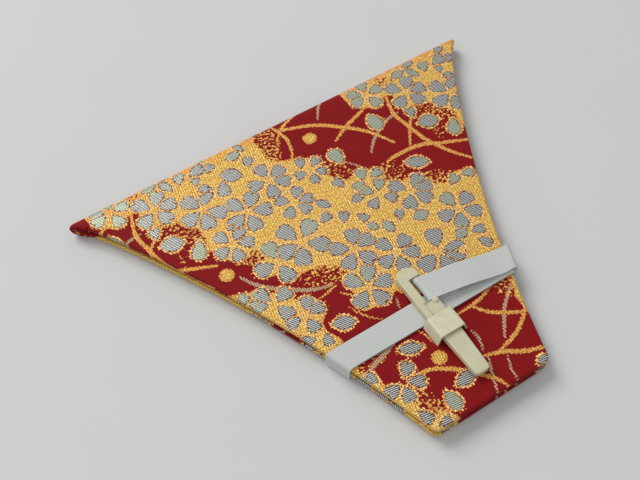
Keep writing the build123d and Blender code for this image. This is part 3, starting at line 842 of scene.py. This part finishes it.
def make_spine_cloth():
    """Filled cloth fold along the spine, with soft turned-in ends."""
    outer = spine_path()
    inner = spine_inner_path(outer)
    half_out = inset_half_width(outer[:, 0], EDGE_R)
    half_in = inset_half_width(inner[:, 0], EDGE_R)
    v_out = SEAM_Y - NECK_Y + travelled(outer)
    ends = 6
    columns = [(-1, k / ends) for k in range(ends, 0, -1)]
    columns += [(value, 0) for value in np.linspace(-1, 1, COLUMNS)]
    columns += [(1, k / ends) for k in range(1, ends + 1)]
    verts, uvs = [], []
    for value, t in columns:
        angle = t * math.pi / 2
        side = np.sign(value) if t else 0
        shrink = 0.42 * (1 - math.cos(angle))
        push = (EDGE_R + 0.6) * math.sin(angle)
        p = outer + (inner - outer) * shrink
        q = inner + (outer - inner) * shrink
        verts.append(np.vstack([np.c_[half_out * value + side * push, p],
                                np.c_[half_in * value + side * push, q][::-1]]))
        u = half_out * value + side * 1.2 * t
        uvs.append(np.vstack([np.c_[u, v_out], np.c_[u + side * 0.8, v_out][::-1]]))
    verts, uvs = np.array(verts), np.array(uvs)
    cols, ring = verts.shape[:2]
    index = np.arange(cols * ring).reshape(cols, ring)
    nxt = np.roll(index, -1, axis=1)
    faces = np.stack([index[:-1], index[1:], nxt[1:], nxt[:-1]], -1).reshape(-1, 4).tolist()
    faces += end_caps(index[0], index[-1])
    obj = make_object("spine_cloth", verts.reshape(-1, 3), faces, BROCADE)
    lift = add_pattern(obj, uvs.reshape(-1, 2)).reshape(cols, ring)
    along = unit(np.gradient(outer, axis=0))
    out = np.stack([-along[:, 1], along[:, 0]], -1)
    m = len(outer)
    verts[:, :m, 1:] += out[None] * lift[:, :m, None]
    verts[:, :, 2] = np.maximum(verts[:, :, 2], 0.0)
    move_points(obj, verts)
    return obj


def make_spine_lining():
    """Lining folded round the inside of the spine."""
    path = spine_inner_path(spine_path())
    path[:, 0] -= 0.06
    path[:, 1] = MID_Z + (path[:, 1] - MID_Z) * (D_LINING + 0.1) / D_HEM
    s = np.linspace(-1, 1, 121)
    half = inset_half_width(path[:, 0], 1.0)
    verts = np.array([np.c_[half * value, path] for value in s])
    faces = grid_faces(len(s), len(path))
    return make_object("spine_lining_cloth", verts.reshape(-1, 3), faces, LINING)


# ================================================================ elastic band
def rounded_path(points, radius, step=0.25):
    """Evenly spaced points on a polyline whose corners are arcs."""
    p = [np.array(q, float) for q in points]
    out = [p[0]]
    for a, b, c in zip(p[:-2], p[1:-1], p[2:]):
        e, f = unit(a - b), unit(c - b)
        turn = math.acos(np.clip(e @ f, -1, 1))
        cut = radius / math.tan(turn / 2)
        centre = b + unit(e + f) * radius / math.sin(turn / 2)
        start, end = b + e * cut - centre, b + f * cut - centre
        for t in np.linspace(0, 1, 12):
            out.append(centre + unit(start * (1 - t) + end * t) * radius)
    out.append(p[-1])
    out = np.array(out)
    length = travelled(out)
    n = max(4, int(length[-1] / step) + 1)
    even = np.linspace(0, length[-1], n)
    return np.stack([np.interp(even, length, out[:, k]) for k in range(out.shape[1])], -1)


def make_ribbon(name, centre, thickness, material, ribs=RIBS, start=0.0):
    """A closed ribbon round a grid of middle points, with lengthwise ribs on both faces."""
    across, along = centre.shape[:2]
    normal = unit(np.cross(np.gradient(centre, axis=0), np.gradient(centre, axis=1)))
    s = np.linspace(0, 1, across)
    rib = np.abs(np.sin(math.pi * ribs * s)) if ribs else np.ones(across)
    edge = np.sqrt(np.clip(1 - (np.abs(2 * s - 1) - 0.965).clip(0) ** 2 / 0.035 ** 2, 0, 1))
    half = thickness / 2 * (0.88 + 0.12 * rib ** 0.6) * (0.15 + 0.85 * edge)
    top = centre + normal * half[:, None, None]
    low = centre - normal * half[:, None, None]
    sheet = np.concatenate([top, low[::-1]], axis=0)
    rows = 2 * across
    ids = np.arange(rows * along).reshape(rows, along)
    faces = grid_faces(rows, along, wrap=True) + end_caps(ids[:, -1], ids[:, 0])
    obj = make_object(name, sheet.reshape(-1, 3), faces, material)
    width = np.linalg.norm(centre[-1, 0] - centre[0, 0])
    a = np.tile(start + travelled(centre[across // 2]), (rows, 1))
    b = np.repeat(np.r_[s, s[::-1]][:, None] * width, along, axis=1)
    store(obj, "band", np.stack([a, b, 0 * a], -1).reshape(-1, 3))
    # share of painted shade for the grooves, highest where the ribbon is thinnest between ribs
    painted_groove_shade = np.r_[1 - rib, (1 - rib)[::-1]] ** 2.0
    store(obj, "painted_groove_shade", np.repeat(painted_groove_shade, along))
    return obj


def turn_centre(side, y_mid, points, samples):
    """Middle points of a band turned round a side edge, sheared along the slanting edge."""
    path = rounded_path(points, 0.75)
    y = y_mid + np.linspace(-0.5, 0.5, samples) * BAND_W
    x = side * (half_width(y)[:, None] + path[None, :, 0])
    z = np.repeat(path[None, :, 1], samples, axis=0)
    return np.stack([x, np.repeat(y[:, None], path.shape[0], axis=1), z], -1)


def span_centre(start_line, end_line, step=0.3):
    """Middle points between two lines of points across the band."""
    reach = np.linalg.norm(end_line - start_line, axis=1).max()
    t = np.linspace(0, 1, int(reach / step) + 1)[None, :, None]
    return start_line[:, None] * (1 - t) + end_line[:, None] * t


def peg_side_centre(edge_line, samples):
    """Middle points of the band from the right edge to the peg, round its rail and back."""
    t = BAND_T
    y_loop = (LOOP_LOW[1] + LOOP_HIGH[1]) / 2
    width = LOOP_HIGH[1] - LOOP_LOW[1] - 0.1
    top_z, low_z = LOOP_HIGH[2] - t / 2, LOOP_LOW[2] + t / 2
    x_in, x_out = LOOP_LOW[0] + t / 2, LOOP_HIGH[0]
    edge = edge_line[samples // 2]
    share = np.linspace(-0.5, 0.5, samples)
    lean = (edge[1] - y_loop) / (edge[0] - x_in)
    bend = rounded_path([(x_out, top_z), (x_in, top_z), (x_in, low_z), (x_out, low_z)], 0.55)
    loop = np.empty((samples, len(bend), 3))
    loop[:, :, 0] = bend[None, :, 0] + 0.18 * np.cos(math.pi * share)[:, None] - 0.18
    loop[:, :, 1] = y_loop + share[:, None] * width + lean * (bend[None, :, 0] - x_in)
    loop[:, :, 2] = bend[None, :, 1]
    first = loop[:, 0]
    reach = edge_line[:, :1] - first[:, :1]
    slope = np.array([[1.0, lean, 0.0]])
    strip = bezier(first, first + slope * reach * 0.35, edge_line - slope * reach * 0.25, edge_line,
                   int(reach.max() / 0.3) + 1)
    return strip[:, ::-1], loop


def make_band():
    """Every stretch of the wound elastic, by name, in the order in which it is wound."""
    samples = 8 * RIBS + 1
    half_t = BAND_T / 2
    front_z, back_z, over_z = FACE_Z + half_t, half_t, FACE_Z + 3 * half_t + 0.03
    sewn_low, sewn_high = node_mm("band_fixed_end")
    sewn_z = (sewn_low[2] + sewn_high[2]) / 2
    near, far = half_t + 0.05, 3 * half_t + 0.1        # first and second turn, from the side edge
    inner = turn_centre(1, BAND_Y, [(-0.7, sewn_z), (near, sewn_z), (near, front_z), (-BAND_EDGE, front_z)],
                        samples)
    left = turn_centre(-1, BAND_Y, [(-BAND_EDGE, front_z), (near, front_z), (near, back_z),
                                    (-BAND_EDGE, back_z)], samples)
    outer = turn_centre(1, BAND_Y2, [(-BAND_EDGE, back_z), (far, back_z), (far, over_z),
                                     (-BAND_EDGE, over_z)], samples)
    sewn_end = inner[:, 0].copy()
    sewn_end[:, 0] = sewn_low[0]
    peg_strip, peg_loop = peg_side_centre(outer[:, -1], samples)
    centres = {
        "fixed_end": span_centre(sewn_end, inner[:, 0]), "inner_turn": inner,
        "front_strip": span_centre(inner[:, -1], left[:, 0]), "left_turn": left,
        "back_strip": span_centre(left[:, -1], outer[:, 0]), "outer_turn": outer,
        "peg_strip": peg_strip, "peg_loop": peg_loop,
    }
    made, start = {}, 0.0
    for stretch, centre in centres.items():
        made[stretch] = make_ribbon("band_%s_cloth" % stretch, centre, BAND_T, ELASTIC, start=start)
        start += travelled(centre[samples // 2])[-1]
    return made


# ================================================================ peg, strap and stitches
def box_mesh(bm, low, high):
    """Add a box to a bmesh."""
    for vert in bmesh.ops.create_cube(bm, size=1.0)["verts"]:
        for k in range(3):
            vert.co[k] = low[k] if vert.co[k] < 0 else high[k]


def outline_prism(name, points, z_low, z_high):
    """Prism over a closed outline, as an object."""
    n = len(points)
    low = [(x, y, z_low) for x, y in points]
    high = [(x, y, z_high) for x, y in points]
    faces = [tuple(range(n))[::-1], tuple(range(n, 2 * n))]
    faces += [(k, (k + 1) % n, (k + 1) % n + n, k + n) for k in range(n)]
    return make_object(name, np.array(low + high), faces, PEG, smooth=False)


def cut_or_join(target, bm, operation):
    """Cut a shape given in millimetres out of an object, or join it on."""
    mesh = bpy.data.meshes.new("tool")
    bm.to_mesh(mesh)
    bm.free()
    mesh.transform(Matrix.Scale(MM, 4))
    tool = bpy.data.objects.new("tool", mesh)
    bpy.context.scene.collection.objects.link(tool)
    modifier = target.modifiers.new("shape", "BOOLEAN")
    modifier.operation = operation
    modifier.solver = "EXACT"
    modifier.object = tool
    apply_modifiers(target)
    bpy.data.objects.remove(tool)


def apply_modifiers(obj):
    """Replace an object's mesh with its evaluated mesh."""
    graph = bpy.context.evaluated_depsgraph_get()
    mesh = bpy.data.meshes.new_from_object(obj.evaluated_get(graph))
    obj.modifiers.clear()
    obj.data = mesh


def peg_outline():
    """Plan of the peg: a half-round head, straight sides past the slot and a tapering tongue."""
    head, tip = (PEG_HIGH[0] - PEG_LOW[0]) / 2, 2.0
    head_round, corner = 2.3, 1.0
    waist, end = LOOP_LOW[1] - 2.4, PEG_LOW[1] + corner
    points = arc((PEG_X, PEG_HIGH[1] - head_round), (head, head_round), 0, 180, 25)
    points += [(PEG_X - head, waist)]
    points += arc((PEG_X - tip + corner, end), (corner, corner), 180, 270, 9)
    points += arc((PEG_X + tip - corner, end), (corner, corner), 270, 360, 9)
    return points + [(PEG_X + head, waist)]


def make_peg():
    """The peg, cut from a plate, then softened as moulded plastic is."""
    z0, z1 = PEG_LOW[2], PEG_HIGH[2]
    peg = outline_prism("clasp_peg_moulded", peg_outline(), z0, z1)
    slot_low, slot_high = LOOP_LOW[1] - 0.1, LOOP_HIGH[1] + 0.1
    rail_x = PEG_X + 1.35
    knob_x, knob_y, knob_r = rail_x + 0.5, slot_low - 0.25, 0.75
    taper, sunken, crown = 0.55, 0.5, 0.12
    slot = bmesh.new()
    box_mesh(slot, (PEG_X - 0.45, slot_low, z0 - 1), (PEG_X + 4, slot_high, z1 + 1))
    cut_or_join(peg, slot, "DIFFERENCE")
    rail_z1 = z1 - BAND_T + 0.02
    rail = bmesh.new()
    box_mesh(rail, (rail_x, slot_low - 0.5, rail_z1 - 0.62), (rail_x + 1.2, slot_high + 0.5, rail_z1))
    cut_or_join(peg, rail, "UNION")
    knob = bmesh.new()
    bmesh.ops.create_uvsphere(knob, u_segments=24, v_segments=16, radius=knob_r)
    bmesh.ops.translate(knob, verts=knob.verts, vec=(knob_x, knob_y, z1 - 0.62))
    cut_or_join(peg, knob, "UNION")
    remesh = peg.modifiers.new("even", "REMESH")
    remesh.mode = "VOXEL"
    remesh.voxel_size = 0.11 * MM
    soften = peg.modifiers.new("soften", "SMOOTH")
    soften.factor = 0.5
    soften.iterations = 7
    apply_modifiers(peg)
    co = np.empty(len(peg.data.vertices) * 3, np.float32)
    peg.data.vertices.foreach_get("co", co)
    co = co.reshape(-1, 3) / MM
    x, y, z = co.T.copy()
    along = ramp(y, slot_low - 2.5, PEG_LOW[1])
    high = ramp(z, z0, z1)
    z -= taper * along * high
    plate = ramp(x, PEG_X - 1.25, PEG_X - 0.9) * ramp(y, slot_low + 0.3, slot_low - 0.3)
    plate *= ramp(y, STRAP_LOW[1], STRAP_LOW[1] + 2.0)
    plate *= ramp(np.hypot(x - knob_x, y - knob_y), 0.7, 1.0)
    z -= sunken * plate * high
    z += crown * along * high * (1 - ((x - PEG_X) / 2.8) ** 2)
    co[:, 2] = z
    peg.data.polygons.foreach_set("use_smooth", [True] * len(peg.data.polygons))
    move_points(peg, co)
    return peg


def make_strap():
    """Thin tape arched over the peg, its ends let into the cover."""
    samples = 41
    top = STRAP_HIGH[2] - 0.25
    half = (STRAP_HIGH[0] - STRAP_LOW[0]) / 2 - 0.25
    low = STRAP_LOW[2] + 0.1
    points = [(PEG_X - half, low), (PEG_X - half, FACE_Z + 0.2), (PEG_X - half + 0.75, top),
              (PEG_X + half - 0.75, top), (PEG_X + half + 0.4, FACE_Z + 0.2), (PEG_X + half + 0.4, low)]
    path = rounded_path(points, 0.35, 0.15)
    y = np.linspace(STRAP_LOW[1], STRAP_HIGH[1], samples)
    centre = np.stack([np.repeat(path[None, :, 0], samples, 0), np.repeat(y[:, None], len(path), 1),
                       np.repeat(path[None, :, 1], samples, 0)], -1)
    return make_ribbon("clasp_strap_tape", centre, 0.46, STRAP, ribs=0)


def make_stitches(name, places, length):
    """Short rounded stitches along Y, one capsule of thread each."""
    rings, around = 9, 10
    t = np.linspace(-1, 1, rings)[:, None]
    a = 2 * math.pi * np.arange(around) / around
    r = 0.16 * np.sqrt(np.maximum(0.02, 1 - t ** 4))
    stitch = np.stack([-r * np.cos(a), t * length / 2 + 0 * a, 0.7 * r * np.sin(a) - 0.08 * t ** 2], -1)
    index = np.arange(rings * around).reshape(rings, around)
    nxt = np.roll(index, -1, axis=1)
    shell = np.stack([index[:-1], nxt[:-1], nxt[1:], index[1:]], -1).reshape(-1, 4).tolist()
    shell += [index[0, ::-1].tolist(), index[-1].tolist()]
    verts = [stitch.reshape(-1, 3) + place for place in places]
    faces = [[i + k * index.size for i in face] for k in range(len(places)) for face in shell]
    return make_object(name, np.vstack(verts), faces, THREAD)


def make_loop_stitches():
    """Two rows of stitches across the doubled band at the peg."""
    first_x, loop_y = LOOP_HIGH[0] - 1.0, (LOOP_LOW[1] + LOOP_HIGH[1]) / 2
    rows = [(first_x - 1.6 * r, loop_y - 1.0 + (k - 2) * 1.3, LOOP_HIGH[2] - 0.1)
            for r in range(2) for k in range(5)]
    return make_stitches("band_loop_thread", rows, 0.8)


def make_anchor_stitches():
    """Two rows of stitches that hold the sewn-down end of the band."""
    first_x = float(half_width(BAND_Y)) - 5.0
    rows = [(first_x - 3.0 * r, BAND_Y + (k - 1.5) * 1.5, MID_Z - D_LINING + 0.02)
            for r in range(2) for k in range(4)]
    return make_stitches("band_anchor_thread", rows, 0.9)


for side, end in ((FRONT, "front"), (BACK, "back")):
    cloth = make_cover_cloth(side)
    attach(cloth, end + "_cover")
    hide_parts(end + "_brocade")

    lining = make_lining(side)
    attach(lining, end + "_cover")
    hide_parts(end + "_lining")

    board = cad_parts[end + "_board"]
    board.data.materials.clear()
    board.data.materials.append(CARD)

spine = make_spine_cloth()
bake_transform(spine)
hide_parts("spine_brocade")

spine_lining = make_spine_lining()
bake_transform(spine_lining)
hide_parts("spine_lining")

band = make_band()
for stretch, body in (("front_strip", "front_cover"), ("back_strip", "back_cover"),
                      ("fixed_end", "back_cover"), ("peg_loop", "peg")):
    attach(band[stretch], body)
for stretch, low_z in (("left_turn", BACK_Z + 0.1), ("outer_turn", BACK_Z + 0.1), ("inner_turn", 2.2)):
    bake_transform(band[stretch])
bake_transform(band["peg_strip"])
for stretch, piece in band.items():
    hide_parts("band_" + stretch)

for piece, body, node, slot in (
        (make_peg(), "peg", "clasp_peg", "peg"),
        (make_strap(), "front_cover", "clasp_strap", "strap"),
        (make_loop_stitches(), "peg", "band_loop_stitches", "thread"),
        (make_anchor_stitches(), "back_cover", "band_anchor_stitches", "thread")):
    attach(piece, body)
    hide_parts(node)


# ================================================================ table, lights and camera
def make_table():
    """Large pale table top, just under the sheath."""
    bpy.ops.mesh.primitive_grid_add(x_subdivisions=8, y_subdivisions=8, size=12.0, location=(0, 0, 0))
    table = bpy.context.object
    table.name = "table_top"
    table.data.materials.append(floor_material())


def put_aimed(thing, place, target):
    """Put a light or a camera in the scene, aimed at a point."""
    thing.location = place
    thing.rotation_euler = (target - place).to_track_quat("-Z", "Y").to_euler()
    bpy.context.scene.collection.objects.link(thing)


def make_light(name, place, target, size, power, colour=(1, 1, 1)):
    """Soft square light aimed at a point."""
    data = bpy.data.lights.new(name, "AREA")
    data.size = size
    data.energy = power
    data.color = colour
    light = bpy.data.objects.new(name, data)
    put_aimed(light, Vector(place), Vector(target))


def make_camera():
    """Camera up on the left-hand side of the narrow end, looking down at the sheath."""
    data = bpy.data.cameras.new("camera")
    data.lens = 51.4
    data.sensor_width = 36.0
    data.clip_start = 0.005
    camera = bpy.data.objects.new("camera", data)
    place = Vector((-78.7, -49.0 + NECK_Y, 190.3 + FACE_Z)) * MM
    target = Vector((-10.5, 56.3 + NECK_Y, FACE_Z)) * MM
    put_aimed(camera, place, target)
    bpy.context.scene.camera = camera


def make_world():
    """Even pale surroundings."""
    world = bpy.data.worlds.new("studio")
    world.use_nodes = True
    background = world.node_tree.nodes["Background"]
    background.inputs["Color"].default_value = (0.95, 0.97, 1.0, 1)
    background.inputs["Strength"].default_value = 0.46
    bpy.context.scene.world = world


make_table()
make_world()
make_light("window", (-0.35, 1.15, 1.25), (0, 0, 0), 0.9, 20.0, (1.0, 0.99, 0.97))
make_light("fill", (-0.9, -0.5, 1.3), (0, 0, 0), 1.2, 7.0, (0.98, 0.99, 1.0))
make_camera()
bpy.context.scene.view_settings.view_transform = "Standard"
